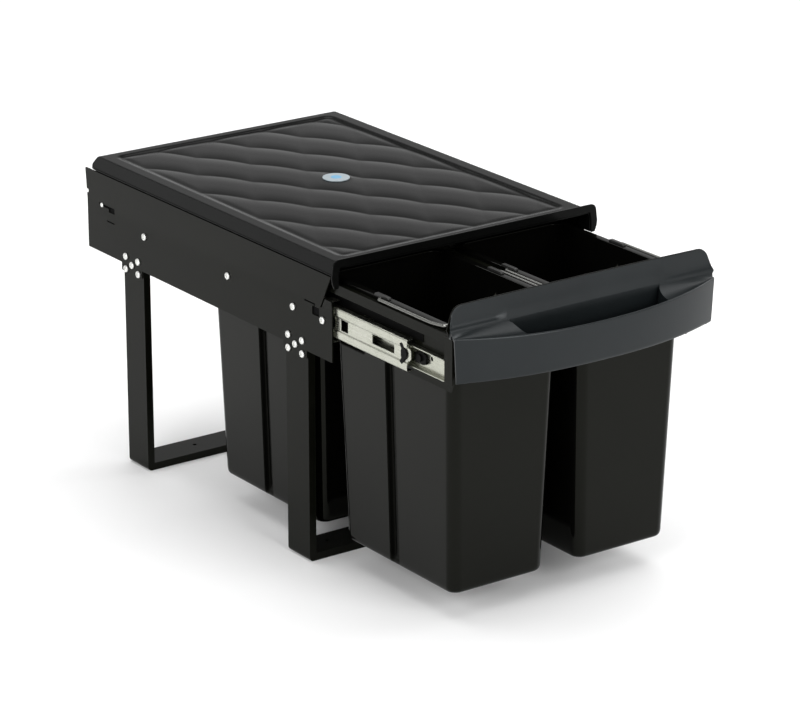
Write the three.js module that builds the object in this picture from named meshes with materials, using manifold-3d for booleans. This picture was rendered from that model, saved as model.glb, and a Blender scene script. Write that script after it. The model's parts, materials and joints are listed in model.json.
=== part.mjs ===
// Pull-out waste-separation unit for a kitchen base cabinet, drawer partly open.
// A steel frame on two U-shaped legs carries a quilted lid and two ball-bearing
// slides; the slides carry a ring frame with a bowed handle panel and four bins.
// Units are millimetres. +Z is up and the drawer pulls out along -Y.
import * as THREE from "three";
import { mergeVertices } from "three/addons/utils/BufferGeometryUtils.js";
import Module from "manifold-3d";

const wasm = await Module();
wasm.setup();

// ---------- driving dimensions ----------
const frameDepth = 484;          // side panels, front edge to rear edge
const panelOuter = 166;          // half width over the side panels
const panelSheet = 1.5;
const panelBottom = 238;
const panelBend = 295;           // the band above this line leans outwards
const panelTop = 331.4;
const bandLean = 1.8;
const drawerOut = 188;           // how far the drawer is open from closed
const middleRatio = 0.6755;      // travel of the slide's middle member per drawer travel
const middleOut = drawerOut * middleRatio;
const handleFront = -238.6;      // foremost point of the handle panel
const gap = 0.3;                 // clearance where two pieces touch

const legWidth = 41;
const legThickness = 8.5;
const legWall = 1.5;
const legOuter = 164.2;
const legTop = 256;
const legCentres = { front: 67.0, rear: 390.4 };
const legHoleX = { front: 127, rear: 88 };

const screwRowZ = 280;
const screwRowY = [16.4, 70.6, 195, 363];
const clusterZ = 239.8;
const clusterOffsets = [[0, 0], [-12.8, -7.3], [12.8, -7.3], [-12.8, 7.3], [12.8, 7.3]];

const lidRimZ = 346.4;
const lidRear = 469;
const lipBack = -7.7;
const lipFront = -10;
const lipTop = 351.7;
const quiltWidth = 71;           // a quilt diamond, side to side
const quiltLength = 115;         // and front to back
const quiltRise = 3.8;
const badgeCentre = [10, 246];
const badgeRadius = 15;

const binCentreX = 80.25;
const binCentreY = { front: -78.3, rear: 156 };
const binBottom = 31.6;
const binTop = 326;
const binHalf = { x: 58.95, y: 95.7 };   // half sizes at the bottom
const binTaper = 0.03;
const railTop = 322;
const handleScrewX = [-140, -112, 112, 140];

const zinc = { color: 0xc9ccc9, roughness: 0.32, metalness: 0.95 };
const blackSteel = { color: 0x17191a, roughness: 0.42, metalness: 0.3 };
const blackPlastic = { color: 0x101112, roughness: 0.3, metalness: 0 };

// ---------- geometry helpers ----------
function toSolid(geometry) {
  const bare = geometry.index ? geometry.toNonIndexed() : geometry.clone();
  for (const name of Object.keys(bare.attributes)) {
    if (name !== "position") bare.deleteAttribute(name);
  }
  const merged = mergeVertices(bare, 1e-4);
  return new wasm.Manifold(new wasm.Mesh({
    numProp: 3,
    vertProperties: new Float32Array(merged.attributes.position.array),
    triVerts: new Uint32Array(merged.index.array),
  }));
}

function toGeometry(solid) {
  const { vertProperties, triVerts } = solid.getMesh();
  const indexed = new THREE.BufferGeometry();
  indexed.setAttribute("position", new THREE.BufferAttribute(vertProperties, 3));
  indexed.setIndex(new THREE.BufferAttribute(triVerts, 1));
  const geometry = indexed.toNonIndexed();
  geometry.computeVertexNormals();
  return geometry;
}

const join = (first, ...others) => others.reduce((sum, other) => sum.add(other), first);
const cut = (first, ...others) => others.reduce((rest, other) => rest.subtract(other), first);

// Extrudes an outline along an axis. The outline is (y, z) for "x", (x, z) for "y"
// and (x, y) for "z".
function prism(outline, from, to, axis, holes = []) {
  const shape = new THREE.Shape(outline.map(([a, b]) => new THREE.Vector2(a, b)));
  for (const hole of holes) {
    shape.holes.push(new THREE.Path(hole.map(([a, b]) => new THREE.Vector2(a, b))));
  }
  const geometry = new THREE.ExtrudeGeometry(shape, { depth: to - from, bevelEnabled: false });
  const turn = new THREE.Matrix4();
  if (axis === "x") turn.set(0, 0, 1, from, 1, 0, 0, 0, 0, 1, 0, 0, 0, 0, 0, 1);
  if (axis === "y") turn.set(1, 0, 0, 0, 0, 0, -1, to, 0, 1, 0, 0, 0, 0, 0, 1);
  if (axis === "z") turn.makeTranslation(0, 0, from);
  return toSolid(geometry.applyMatrix4(turn));
}

const rectangle = (a0, b0, a1, b1) => [[a0, b0], [a1, b0], [a1, b1], [a0, b1]];

function roundedRectangle(a0, b0, a1, b1, radius, segments = 4) {
  const points = [];
  const corners = [[a1, b1, 0], [a0, b1, 1], [a0, b0, 2], [a1, b0, 3]];
  for (const [a, b, quarter] of corners) {
    const ca = a + (a > a0 ? -radius : radius);
    const cb = b + (b > b0 ? -radius : radius);
    for (let i = 0; i <= segments; i++) {
      const angle = (quarter + i / segments) * Math.PI / 2;
      points.push([ca + radius * Math.cos(angle), cb + radius * Math.sin(angle)]);
    }
  }
  return points;
}

function circle(a, b, radius, segments = 12) {
  const points = [];
  for (let i = 0; i < segments; i++) {
    const angle = 2 * Math.PI * i / segments;
    points.push([a + radius * Math.cos(angle), b + radius * Math.sin(angle)]);
  }
  return points;
}

const box = (x0, y0, z0, x1, y1, z1) => prism(rectangle(x0, y0, x1, y1), z0, z1, "z");

// Mirrors an (x, z) half outline, drawn from the middle outwards and back, about x = 0.
const mirrored = (half) => [...half, ...half.slice().reverse().map(([x, z]) => [-x, z])];

const mirrorX = (solid) => solid.mirror([1, 0, 0]);

// Joins rings of equal point count into one closed skin, first and last ring capped.
function loft(rings) {
  const count = rings[0].length;
  const positions = rings.flat(2);
  const index = [];
  for (let r = 0; r + 1 < rings.length; r++) {
    for (let i = 0; i < count; i++) {
      const a = r * count + i, b = r * count + (i + 1) % count;
      index.push(a, b, b + count, a, b + count, a + count);
    }
  }
  const cap = (ring, base, flip) => {
    const normal = new THREE.Vector3();
    ring.forEach((point, i) => {
      const next = new THREE.Vector3(...ring[(i + 1) % count]);
      normal.add(new THREE.Vector3(...point).cross(next));
    });
    const drop = [normal.x, normal.y, normal.z].map(Math.abs);
    const skip = drop.indexOf(Math.max(...drop));
    const flat = ring.map((point) => new THREE.Vector2(...point.filter((_, k) => k !== skip)));
    for (const face of THREE.ShapeUtils.triangulateShape(flat, [])) {
      const tri = face.map((k) => k + base);
      // keep each cap's faces turned the same way as the ring it closes
      const area = THREE.ShapeUtils.area(flat);
      const ccw = THREE.ShapeUtils.area(face.map((k) => flat[k])) > 0 === area > 0;
      index.push(...(ccw === flip ? tri.reverse() : tri));
    }
  };
  cap(rings[0], 0, true);
  cap(rings[rings.length - 1], (rings.length - 1) * count, false);
  const geometry = new THREE.BufferGeometry();
  geometry.setAttribute("position", new THREE.Float32BufferAttribute(positions, 3));
  geometry.setIndex(index);
  const volume = signedVolume(geometry);
  if (volume < 0) geometry.setIndex(index.slice().reverse());
  return toSolid(geometry);
}

function signedVolume(geometry) {
  const { array } = geometry.attributes.position;
  const point = (k) => new THREE.Vector3(array[3 * k], array[3 * k + 1], array[3 * k + 2]);
  const index = geometry.index.array;
  let volume = 0;
  for (let i = 0; i < index.length; i += 3) {
    const [a, b, c] = [point(index[i]), point(index[i + 1]), point(index[i + 2])];
    volume += a.dot(b.cross(c)) / 6;
  }
  return volume;
}

// A centre line through given points, one step for each stretch between them.
class BentWire extends THREE.Curve {
  constructor(points) {
    super();
    this.points = points;
  }
  getPoint(t, target = new THREE.Vector3()) {
    const place = t * (this.points.length - 1);
    const i = Math.min(Math.floor(place + 1e-6), this.points.length - 2);
    return target.lerpVectors(this.points[i], this.points[i + 1], place - i);
  }
  getPointAt(u, target) {
    return this.getPoint(u, target);
  }
  getTangentAt(u) {
    const i = Math.round(u * (this.points.length - 1));
    const before = this.points[Math.max(i - 1, 0)];
    const after = this.points[Math.min(i + 1, this.points.length - 1)];
    return after.clone().sub(before).normalize();
  }
}

// A round wire through the corners, each bent with its own reach of curve.
function wire(corners, bends, radius) {
  const points = [corners[0]];
  for (let i = 1; i + 1 < corners.length; i++) {
    const back = corners[i - 1].clone().sub(corners[i]).setLength(bends[i - 1]);
    const on = corners[i + 1].clone().sub(corners[i]).setLength(bends[i - 1]);
    for (const t of [0, 0.33, 0.67, 1]) {
      const a = corners[i].clone().addScaledVector(back, (1 - t) ** 2);
      points.push(a.addScaledVector(on, t ** 2));
    }
  }
  points.push(corners[corners.length - 1]);
  const section = new THREE.Shape(circle(0, 0, radius, 8).map(([a, b]) => new THREE.Vector2(a, b)));
  return toSolid(new THREE.ExtrudeGeometry(section, {
    steps: points.length - 1, extrudePath: new BentWire(points),
  }));
}

const model = new THREE.Group();
// the model's origin lies under the middle of its length, on the floor
model.position.y = -(frameDepth + handleFront) / 2;

function addPiece(group, name, solid, look, place = [0, 0, 0]) {
  const piece = new THREE.Mesh(toGeometry(solid), new THREE.MeshStandardMaterial(look));
  piece.name = name;
  piece.position.set(...place);
  group.add(piece);
  return piece;
}

const frameGroup = new THREE.Group();
const drawerGroup = new THREE.Group();
drawerGroup.position.y = -drawerOut;
const middleGroup = new THREE.Group();
middleGroup.position.y = -middleOut;
model.add(frameGroup, drawerGroup, middleGroup);

// ---------- side panels ----------
const rivetAt = { y: 452, z: 294.6 };
function sidePanel() {
  const sheetInner = panelOuter - panelSheet;
  const outline = [
    [0, panelBottom], [0, 303], [1, 304], [12.2, 304], [18.6, 293], [21, 293], [-1, panelTop],
    [frameDepth - 1, panelTop], [frameDepth, panelTop - 1], [frameDepth, 306.5], [480.5, 306],
    [480.5, 302], [frameDepth, 301.5], [frameDepth, panelBottom],
    [413, panelBottom], [413, 230], [412, 229], [371.5, 229], [370.5, 230], [370.5, panelBottom],
    [90, panelBottom], [90, 230], [89, 229], [47.5, 229], [46.5, 230], [46.5, panelBottom],
  ];
  const holes = [
    // hook slots: each is a square with a narrow arm running to the rear
    [[22.8, 281.5], [35.6, 281.5], [35.6, 290.8], [33, 290.8], [33, 292.6], [50, 292.6],
      [50, 294.4], [31, 294.4], [31, 290.8], [22.8, 290.8]],
    [[425.8, 289.4], [438, 289.4], [438, 293.2], [449.8, 293.2], [449.8, 296], [425.8, 296]],
    rectangle(454.2, 293.6, 458.4, 296.2),
    rectangle(426.4, 277.4, 442.4, 279),
    circle(rivetAt.y, rivetAt.z, 1.6, 8),
  ];
  for (const y of screwRowY) holes.push(circle(y, screwRowZ, 2.4, 8));
  for (const y of Object.values(legCentres)) {
    for (const [dy, dz] of clusterOffsets) holes.push(circle(y + dy, clusterZ + dz, 2.4, 8));
  }
  const flat = prism(outline, sheetInner, panelOuter, "x", holes);
  const lower = flat.trimByPlane([0, 0, -1], -panelBend);
  const upper = flat.trimByPlane([0, 0, 1], panelBend).warp((point) => {
    point[0] += Math.max(0, point[2] - panelBend) * bandLean / (panelTop - panelBend);
  });
  return lower.add(upper);
}
const rightPanel = sidePanel();
addPiece(frameGroup, "side_panel_right", rightPanel, blackSteel);
addPiece(frameGroup, "side_panel_left", mirrorX(rightPanel), blackSteel);

// ---------- legs: flat tube bent to a U ----------
function leg(centreY, holeX) {
  const inner = legOuter - legThickness;
  const r = 5;
  const outerHalf = [[0, 0], [legOuter - r, 0]];
  for (const a of [22.5, 45, 67.5, 90]) {
    const angle = a * Math.PI / 180;
    outerHalf.push([legOuter - r + r * Math.sin(angle), r - r * Math.cos(angle)]);
  }
  outerHalf.push([legOuter, legTop]);
  const uOutline = (half) => [...half, ...half.slice().reverse().map(([x, z]) => [-x, z])];
  const outer = uOutline([...outerHalf, [inner, legTop], [inner, legThickness], [0, legThickness]]
    .slice(1));
  const w = legWall;
  const hollow = uOutline([
    [legOuter - w - r, w], [legOuter - w, w + r], [legOuter - w, legTop + 1],
    [inner + w, legTop + 1], [inner + w, legThickness - w],
  ]);
  const half = legWidth / 2;
  let tube = cut(
    prism(outer, centreY - half, centreY + half, "y"),
    prism(hollow, centreY - half + w, centreY + half - w, "y"),
  );
  for (const side of [-1, 1]) {
    const hole = circle(side * holeX, centreY + 2, 2.5, 12);
    tube = cut(tube, prism(hole, -1, legThickness + 1, "z"));
    for (const [dy, dz] of clusterOffsets) {
      const bore = circle(centreY + dy, clusterZ + dz, 2.4, 8);
      const span = [legOuter - w - 0.5, legOuter + 1].map((x) => side * x).sort((a, b) => a - b);
      tube = cut(tube, prism(bore, span[0], span[1], "x"));
    }
  }
  return tube;
}
for (const end of ["front", "rear"]) {
  addPiece(frameGroup, `leg_${end}`, leg(legCentres[end], legHoleX[end]), blackSteel);
}

// ---------- screws ----------
// A pan head with a cross recess, its shank running towards -X from the origin plane.
function screw(headRadius, headHeight, shankRadius, shankLength, recessed = true) {
  const profile = [[0, -shankLength], [shankRadius, -shankLength], [shankRadius, 0],
    [headRadius, 0], [headRadius, headHeight * 0.45], [headRadius * 0.65, headHeight],
    [0, headHeight]];
  const lathe = new THREE.LatheGeometry(profile.map(([r, h]) => new THREE.Vector2(r, h)), 8);
  const turned = toSolid(lathe.rotateZ(-Math.PI / 2));
  if (!recessed) return turned;
  const reach = headRadius * 0.5, slot = headRadius * 0.11;
  const deep = headHeight * 0.5;
  return cut(turned,
    box(deep, -reach, -slot, headHeight + 1, reach, slot),
    box(deep, -slot, -reach, headHeight + 1, slot, reach));
}

// Five frame screws on the threaded plate that sits inside the leg's tube.
const clusterScrews = (() => {
  const plateOuter = legOuter - legWall - gap;
  const shank = panelOuter + gap - plateOuter + 1.5;
  const one = screw(4, 2.2, 1.9, shank, false);
  let all = prism(rectangle(-17, -11.5, 17, 11.5), plateOuter - 2.5, plateOuter, "x");
  for (const [dy, dz] of clusterOffsets) {
    all = all.add(one.translate([panelOuter + gap, dy, dz]));
  }
  return all;
})();
const rowScrew = screw(4, 2.2, 1.9, panelOuter + gap - 162.6);
const rivet = screw(2.6, 1, 1.3, panelSheet + 0.4, false);
for (const [side, sign] of [["right", 1], ["left", -1]]) {
  const turn = (solid) => (sign > 0 ? solid : mirrorX(solid));
  for (const end of ["front", "rear"]) {
    addPiece(frameGroup, `leg_screws_${end}_${side}`, turn(clusterScrews), zinc,
      [0, legCentres[end], clusterZ]);
  }
  screwRowY.forEach((y, i) => {
    addPiece(frameGroup, `slide_screw_${i + 1}_${side}`, turn(rowScrew), zinc,
      [sign * (panelOuter + gap), y, screwRowZ]);
  });
  addPiece(frameGroup, `panel_rivet_${side}`, turn(rivet), zinc,
    [sign * (panelOuter + gap), rivetAt.y, rivetAt.z]);
}

// ---------- lid ----------
// Raised pillows between two crossing families of creases.
function quiltHeight(x, y) {
  const u = x / quiltWidth + (y - 59) / quiltLength;
  const v = x / quiltWidth - (y - 59) / quiltLength;
  return quiltRise * Math.abs(Math.sin(Math.PI * u) * Math.sin(Math.PI * v)) ** 0.6;
}

// A slab whose top carries the quilting; its grid lines follow the creases.
function quiltedSlab(bottom, base) {
  const xs = [-149.5];
  for (let k = -12; k <= 12; k++) xs.push(k * quiltWidth / 6);
  xs.push(149.5);
  const ys = [7];
  for (let j = 1; j <= 23; j++) ys.push(1.5 + j * quiltLength / 6);
  ys.push(459);
  const [nx, ny] = [xs.length, ys.length];
  const positions = [], index = [];
  for (let j = 0; j < ny; j++) {
    for (let i = 0; i < nx; i++) {
      const edge = i === 0 || j === 0 || i === nx - 1 || j === ny - 1;
      positions.push(xs[i], ys[j], base + (edge ? 0 : quiltHeight(xs[i], ys[j])));
    }
  }
  const at = (i, j) => j * nx + i;
  for (let j = 0; j + 1 < ny; j++) {
    for (let i = 0; i + 1 < nx; i++) {
      const [a, b, c, d] = [at(i, j), at(i + 1, j), at(i + 1, j + 1), at(i, j + 1)];
      if ((i + j) % 2) index.push(a, b, c, a, c, d);
      else index.push(a, b, d, b, c, d);
    }
  }
  const rim = [];
  for (let i = 0; i < nx - 1; i++) rim.push(at(i, 0));
  for (let j = 0; j < ny - 1; j++) rim.push(at(nx - 1, j));
  for (let i = nx - 1; i > 0; i--) rim.push(at(i, ny - 1));
  for (let j = ny - 1; j > 0; j--) rim.push(at(0, j));
  const first = positions.length / 3;
  for (const k of rim) positions.push(positions[3 * k], positions[3 * k + 1], bottom);
  const centre = positions.length / 3;
  positions.push(0, 230, bottom);
  rim.forEach((k, i) => {
    const next = (i + 1) % rim.length;
    index.push(k, first + i, first + next, k, first + next, rim[next]);
    index.push(centre, first + next, first + i);
  });
  const geometry = new THREE.BufferGeometry();
  geometry.setAttribute("position", new THREE.Float32BufferAttribute(positions, 3));
  geometry.setIndex(index);
  return toSolid(geometry);
}

function lid() {
  const skirtHalf = [
    [159.8, lidRimZ], [161.8, 345.7], [171.4, 337.2], [172, 336.2], [171.6, 335.4],
    [166.8, 334.8], [166.4, panelTop + gap], [164.8, panelTop + gap], [164.8, 333], [160.4, 341.9],
  ];
  const shell = prism(mirrored(skirtHalf), lipBack - 0.4, lidRear, "y");
  const rearWall = prism(mirrored(skirtHalf.slice(0, 7)), lidRear - 3, lidRear, "y");
  const r = 7;
  const lipHalf = [];
  for (const a of [90, 70, 50, 30, 10]) {
    const angle = a * Math.PI / 180;
    lipHalf.push([163.6 + r * Math.cos(angle), lipTop - r + r * Math.sin(angle)]);
  }
  lipHalf.push([172.3, 333], [171.5, 327], [168.8, 320.6], [164, 320.6], [164, 334],
    [162, 342.4], [160, 343.4]);
  const lip = prism(mirrored(lipHalf), lipFront, lipBack, "y");
  // the lip's legs are folded back along the sides, behind the panels' cut-away corners
  const fold = prism([[-9, 321.5], [-9, 340], [14, 333], [14, 329], [6, 321.5]],
    162.7, 164.2, "x");
  // the rear corners are rounded, seen from above
  const plan = prism(roundedRectangle(-173, -60, 173, lidRear, 10, 4), 300, 360, "z");
  let whole = join(shell, rearWall, lip, fold, mirrorX(fold)).intersect(plan);
  const recess = prism(roundedRectangle(-147.5, 10, 147.5, 457, 12, 4), 340, 360, "z");
  whole = join(cut(whole, recess), quiltedSlab(341, 342.8));
  for (const y of [60, 230, 410]) {
    for (const x of [[161.2, 164.2], [-164.2, -161.2]]) {
      whole = whole.add(box(x[0], y - 15, 312, x[1], y + 15, 336));
    }
  }
  return cut(whole, prism(circle(...badgeCentre, badgeRadius + 0.3, 32), 345.2, 360, "z"));
}
addPiece(frameGroup, "lid", lid(), { color: 0x151718, roughness: 0.38, metalness: 0 });
addPiece(frameGroup, "lid_badge",
  prism(circle(0, 0, badgeRadius, 32), 0, 1.5, "z"),
  { color: 0xdfe9f2, roughness: 0.35, metalness: 0 }, [...badgeCentre, 345.5]);

// ---------- slides, drawn for the right side ----------
// A channel along Y. The web spans x0 to x1; the flanges run on to x2.
function channel(x0, x1, x2, z0, z1, y0, y1, sheet, holes = []) {
  const [webLow, webHigh] = [Math.min(x0, x1), Math.max(x0, x1)];
  const [lipLow, lipHigh] = [Math.min(x0, x2), Math.max(x0, x2)];
  return join(
    prism(rectangle(y0, z0, y1, z1), webLow, webHigh, "x", holes),
    box(lipLow, y0, z0, lipHigh, y1, z0 + sheet),
    box(lipLow, y0, z1 - sheet, lipHigh, y1, z1));
}

const outerMember = () => channel(164.2, 163, 153.6, 258.5, 303.5, 3, 468, 1.2,
  screwRowY.map((y) => circle(y, screwRowZ, 2.4, 8)));

// Positions of the middle and inner members are those of the closed drawer.
const middleMember = () => channel(162.2, 161, 154.4, 264, 298, 1, 441, 1.2, [
  rectangle(middleOut - 22, 273, middleOut - 9.4, 288),
  rectangle(middleOut - 103, 277.5, middleOut - 64.6, 286.6),
  circle(middleOut + 40, 281, 5, 12),
  roundedRectangle(middleOut + 120, 276, middleOut + 160, 286, 4, 3),
]);

const innerMember = () => cut(
  channel(151.8, 153, 158, 269.6, 292.5, 6, 466, 1.2, [
    circle(drawerOut - 155.7, 285, 2.2, 10),
    roundedRectangle(drawerOut + 60, 278, drawerOut + 90, 284, 2.9, 3),
    circle(drawerOut + 200, 281, 2.2, 10),
  ]),
  box(150, drawerOut - 184, 279, 156.5, drawerOut - 178, 289));

// The moulded end clip that stops the middle member's balls.
const middleClip = () => prism([
  [-125, 272], [-119, 270.5], [-116, 274], [-113.2, 276], [-115, 281], [-113.2, 286],
  [-116, 288.5], [-119, 291.5], [-125, 290],
].map(([y, z]) => [y + middleOut, z]), 158.6, 160.7, "x");

// The release lever in the inner member's channel.
const releaseLever = () => join(
  prism([[-150, 277.5], [-144, 276], [-134, 276.5], [-130, 279.5], [-130, 285], [-136, 288.6],
    [-146, 289], [-150, 286]].map(([y, z]) => [y + drawerOut, z]), 153.3, 156.2, "x"),
  prism(circle(drawerOut - 140, 282.5, 4.2, 12), 155.5, 158.2, "x"));

// Balls held on a strip between two raceways.
function ballCage(length, count) {
  let cage = box(-1.6, 0, -0.5, 1.6, length, 0.5);
  for (let i = 0; i < count; i++) {
    const ball = toSolid(new THREE.SphereGeometry(1.8, 6, 3));
    cage = cage.add(ball.translate([0, length * (i + 0.5) / count, 0]));
  }
  return cage;
}
const outerCage = ballCage(110, 3);
const innerCage = ballCage(150, 3);
// cages travel half as far as the two members they run between
const outerCageY = 167 - middleOut / 2;
const innerCageY = 159 - (middleOut + drawerOut) / 2;

for (const [side, sign] of [["right", 1], ["left", -1]]) {
  const turn = (solid) => (sign > 0 ? solid : mirrorX(solid));
  addPiece(frameGroup, `slide_outer_${side}`, turn(outerMember()), zinc);
  addPiece(middleGroup, `slide_middle_${side}`, turn(middleMember()), zinc);
  addPiece(drawerGroup, `slide_inner_${side}`, turn(innerMember()), zinc);
  addPiece(middleGroup, `slide_clip_${side}`, turn(middleClip()), blackPlastic);
  addPiece(drawerGroup, `slide_lever_${side}`, turn(releaseLever()), blackPlastic);
  for (const [row, outerZ, innerZ] of [["upper", 300.15, 294.65], ["lower", 261.85, 267.4]]) {
    addPiece(model, `cage_outer_${row}_${side}`, outerCage, zinc,
      [sign * 158.2, outerCageY, outerZ]);
    addPiece(model, `cage_inner_${row}_${side}`, innerCage, zinc,
      [sign * 156.2, innerCageY, innerZ]);
  }
}

// ---------- drawer ring ----------
// Drawn where it stands with the drawer open, then moved into the drawer's group.
function drawerRing() {
  const openings = [];
  for (const x of [-80.9, 80.9]) {
    openings.push(box(x - 68.9, -183.4, 300, x + 68.9, 27, 330));
    openings.push(box(x - 68.9, 50.7, 300, x + 68.9, 261.2, 330));
  }
  const topPlate = cut(box(-160, -196, railTop - 1.5, 160, 272, railTop), ...openings);
  const sideWeb = join(
    prism([[-192, 274], [-186, 258], [271.6, 258], [271.6, railTop - 0.5], [-192, railTop - 0.5]],
      150, 151.5, "x"),
    box(150, -203, 273.8, 151.5, -190, 320));
  const frontHoles = handleScrewX.map((x) => circle(x, 296, 2.4, 8));
  const front = join(
    prism(rectangle(-163.6, 273, 163.6, 321), -204, -202.5, "y", frontHoles),
    box(-163.6, -203, 273, 163.6, -191, 274.5),
    box(-163.6, -203, 319.5, 163.6, -191, 321),
    box(-163.6, -203, 273, -162.1, -191, 321),
    box(162.1, -203, 273, 163.6, -191, 321));
  // the top plate's long edges are folded down, which stiffens them
  const fold = box(158.5, -195.5, 311, 160, 271.5, railTop - 0.5);
  const webs = [[27.4, 28.9, 302], [48.8, 50.3, 302], [269.8, 271.3, 275]];
  return join(topPlate, front, sideWeb, mirrorX(sideWeb), fold, mirrorX(fold),
    ...webs.map(([from, to, low]) => box(-150.6, from, low, 150.6, to, railTop - 0.5)))
    .translate([0, drawerOut, 0]);
}
addPiece(drawerGroup, "drawer_ring", drawerRing(), blackSteel);

// ---------- handle panel ----------
const panelHalf = (z) => (z > 330 ? 168 - (z - 330) / 3 : 168 - (330 - z) * 4 / 54);
const bow = (x) => handleFront + 26.5 * (Math.abs(x) / 164) ** 2.4;
const lipHeight = (x) => 318 + 5.5 * (Math.abs(x) / 164) ** 2;
const ridge = { y: -206.2, z: 331 };
const memberFace = -204 - gap;

function plateTop(x) {
  const edge = Math.abs(x) - 159.2;
  const crown = 354 + 1 - (x / 160) ** 2;
  return edge <= 0 ? crown : 346 + Math.sqrt(Math.max(0, 64 - (edge * 8 / 8.8) ** 2));
}

function handleSection(x) {
  const top = plateTop(x), front = bow(x), lip = lipHeight(x);
  const deck = [0.15, 0.35, 0.6, 0.85].map((s) => [
    ridge.y + (front + 2.2 - ridge.y) * s,
    lip - 0.4 + (ridge.z - 1 - lip) * (1 - s) ** 2.2,
  ]);
  return [[-199, top], [-201.6, top - 0.4], [-203.4, 336], [-204.6, 332.4],
    [ridge.y + 0.6, ridge.z], ...deck, [front + 2.2, lip], [front + 0.6, lip - 0.5],
    [front, lip - 2.2], [front, 278], [front + 1.5, 276], [memberFace, 276],
    [memberFace, 321.3], [-199, 321.3]];
}

function stations(half, count) {
  const xs = [];
  for (let i = 0; i <= count; i++) xs.push(half * Math.sin((i / count - 0.5) * Math.PI));
  return xs;
}

// A curved outline of the finger pocket, seen from above; grow thickens its walls.
function pocketOutline(grow) {
  const rear = -206.8 + grow, points = [];
  const endFront = bow(80) + 3.6 - grow;
  const quarter = [0, 22.5, 45, 67.5, 90].map((a) => a * Math.PI / 180);
  for (const a of quarter) {
    points.push([-(98 + grow - 18 * Math.sin(a)), rear + (endFront - rear) * (1 - Math.cos(a))]);
  }
  for (const x of [-60, -40, -20, 0, 20, 40, 60]) points.push([x, bow(x) + 3.6 - grow]);
  const right = points.slice(0, 5).reverse().map(([x, y]) => [-x, y]);
  return [...points, ...right];
}

function handlePanel() {
  const fold = (x, sections) => sections.map(([y, z]) => [x * panelHalf(z) / 168, y, z]);
  const outer = loft(stations(168, 22).map((x) => fold(x, handleSection(x))));
  const inner = loft(stations(162, 14).map((x) => {
    const front = bow(x) + 2.8, lip = lipHeight(x) - 3.4;
    const back = memberFace - 2.3;
    const points = [[back, 270], [back, 326]];
    for (const s of [0.35, 0.7, 1]) {
      points.push([back + (front - back) * s, lip + (326 - lip) * (1 - s) ** 2.2]);
    }
    points.push([front, 270]);
    return fold(x, points);
  }));
  const pocket = prism(pocketOutline(0), 285, 345, "z");
  const pocketWall = prism(pocketOutline(2.4), 282.5, 345, "z");
  const holes = handleScrewX.map((x) => prism(circle(x, 296, 2.4, 8), -208, -203, "y"));
  // the skirt's ends stop short of the drawer's front
  const endGap = box(157, -212.4, 274, 170, -203.8, 325);
  return cut(outer, cut(inner, pocketWall), pocket, ...holes, endGap, mirrorX(endGap))
    .translate([0, drawerOut, 0]);
}
addPiece(drawerGroup, "handle_panel", handlePanel(),
  { color: 0x1d2024, roughness: 0.48, metalness: 0 });

const handleScrew = screw(4, 2.4, 1.9, 10, false).rotate([0, 0, 90]);
handleScrewX.forEach((x, i) => {
  addPiece(drawerGroup, `handle_screw_${i + 1}`, handleScrew, zinc,
    [x, drawerOut - 202.5 + gap, 296]);
});

// ---------- bins and bails ----------
const grooveY = 5, grooveHalf = 8.5, grooveDeep = 5;
const bailPivot = { y: 8.3, z: 324.9 };

// One rounded ring of the bin's skin, with a vertical groove in both long sides.
function binRing(halfX, halfY, radius, z, groove) {
  const points = [];
  const corners = [[1, 1, 0], [-1, 1, 1], [-1, -1, 2], [1, -1, 3]];
  for (const [sx, sy, quarter] of corners) {
    if (sx < 0 && sy < 0) groovePoints(-1).forEach((p) => points.push(p));
    for (let i = 0; i <= 3; i++) {
      const angle = (quarter + i / 3) * Math.PI / 2;
      points.push([sx * (halfX - radius) + radius * Math.cos(angle),
        sy * (halfY - radius) + radius * Math.sin(angle), z]);
    }
  }
  groovePoints(1).forEach((p) => points.push(p));
  return points;

  function groovePoints(side) {
    const profile = [[-1, 0], [-0.72, 0.75], [-0.3, 1], [0.3, 1], [0.72, 0.75], [1, 0]];
    const run = side > 0 ? profile : profile.slice().reverse();
    return run.map(([s, d]) => [side * (halfX - d * groove), grooveY + s * grooveHalf, z]);
  }
}

const bin = (() => {
  const wall = 2, height = binTop - binBottom;
  const ring = (rise, inset, radius, groove) => binRing(
    binHalf.x + binTaper * rise - inset, binHalf.y + binTaper * rise - inset, radius,
    binBottom + rise, groove);
  const flange = 5.9, under = railTop + gap - binBottom;
  const rings = [
    ring(0, 5, 9, 0), ring(1.6, 1.8, 11, 0.6), ring(5, 0.2, 12, 2.5), ring(12, 0, 12, grooveDeep),
    ring(height - 26, 0, 12, grooveDeep), ring(height - 16, 0, 12, 0),
    ring(under, 0, 12, 0), ring(under, -flange, 17, 0),
    ring(height - 1, -flange, 17, 0), ring(height, -flange + 1, 16, 0),
    ring(height, wall, 10.5, 0), ring(height - 16, wall, 10.5, 0),
    ring(height - 26, wall, 10.5, grooveDeep), ring(12, wall, 10.5, grooveDeep),
    ring(wall + 2, wall + 2, 9, 0.6), ring(wall, wall + 5, 8, 0),
  ];
  let solid = loft(rings);
  // lugs on the rim that hold the bail's ends
  for (const side of [-1, 1]) {
    const [a, b] = [side * 69, side * 73.4].sort((p, q) => p - q);
    const lug = prism(roundedRectangle(-3.5, railTop + gap, 20.5, binTop + 2.4, 2, 2), a, b, "x");
    const [from, to] = [side * 69.1, side * 75].sort((p, q) => p - q);
    const bore = prism(circle(bailPivot.y, bailPivot.z, 2.3, 8), from, to, "x");
    solid = cut(solid.add(lug), bore);
  }
  return solid;
})();

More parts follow.
